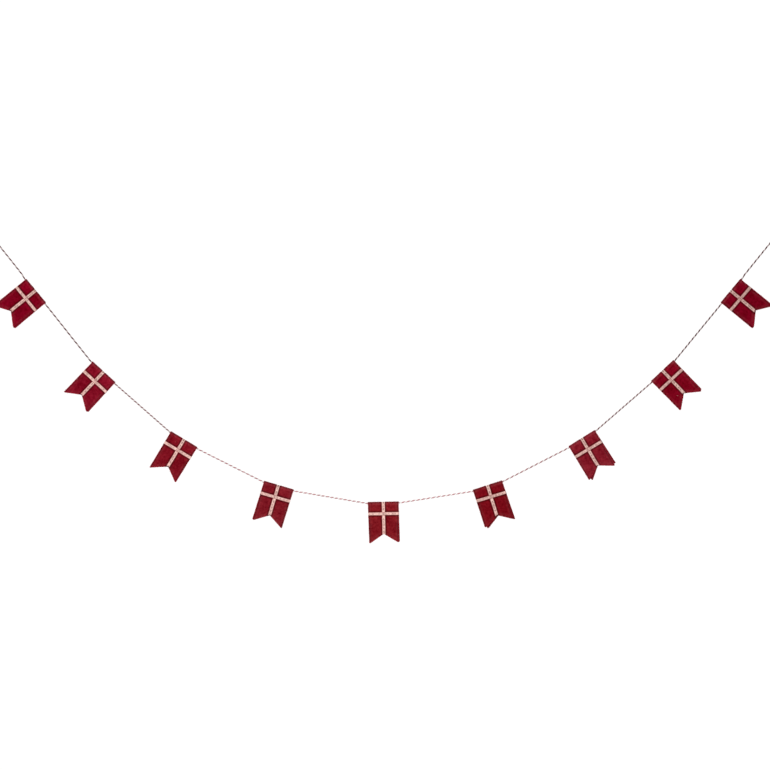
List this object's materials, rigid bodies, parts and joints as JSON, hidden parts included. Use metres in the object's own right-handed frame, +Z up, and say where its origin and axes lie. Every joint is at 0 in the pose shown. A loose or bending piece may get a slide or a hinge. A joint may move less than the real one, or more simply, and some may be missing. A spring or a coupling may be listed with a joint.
{
  "type": "fabric bunting",
  "caption": "Bunting of small swallow-tailed red felt flags with cream tape crosses, folded over a red and natural twine with a tied loop at each end.",
  "frame": {"origin": "inside top of the left hanging loop, where a nail or hook holds the bunting", "axes": "+X along the bunting from the left loop to the right one, -Y towards the viewer, +Z up"},
  "size_m": [1.3686, 0.0104, 0.547],
  "materials": {
    "felt": "matt deep red wool felt with a short nap",
    "tape": "matt cream cotton twill tape, stitched along its middle",
    "twine": "matt two-ply twine, one ply deep red and one natural"
  },
  "bodies": {
    "root": {"twine": "twine", "left_loop": "twine", "left_knot": "twine", "right_loop": "twine", "right_knot": "twine", "felt_1": "felt", "felt_2": "felt", "felt_3": "felt", "felt_4": "felt", "felt_5": "felt", "felt_6": "felt", "felt_7": "felt", "felt_8": "felt", "felt_9": "felt", "upright_tape_1": "tape", "upright_tape_2": "tape", "upright_tape_3": "tape", "upright_tape_4": "tape", "upright_tape_5": "tape", "upright_tape_6": "tape", "upright_tape_7": "tape", "upright_tape_8": "tape", "upright_tape_9": "tape", "front_crossbar_1": "tape", "front_crossbar_2": "tape", "front_crossbar_3": "tape", "front_crossbar_4": "tape", "front_crossbar_5": "tape", "front_crossbar_6": "tape", "front_crossbar_7": "tape", "front_crossbar_8": "tape", "front_crossbar_9": "tape", "back_crossbar_1": "tape", "back_crossbar_2": "tape", "back_crossbar_3": "tape", "back_crossbar_4": "tape", "back_crossbar_5": "tape", "back_crossbar_6": "tape", "back_crossbar_7": "tape", "back_crossbar_8": "tape", "back_crossbar_9": "tape"}
  },
  "joints": []
}
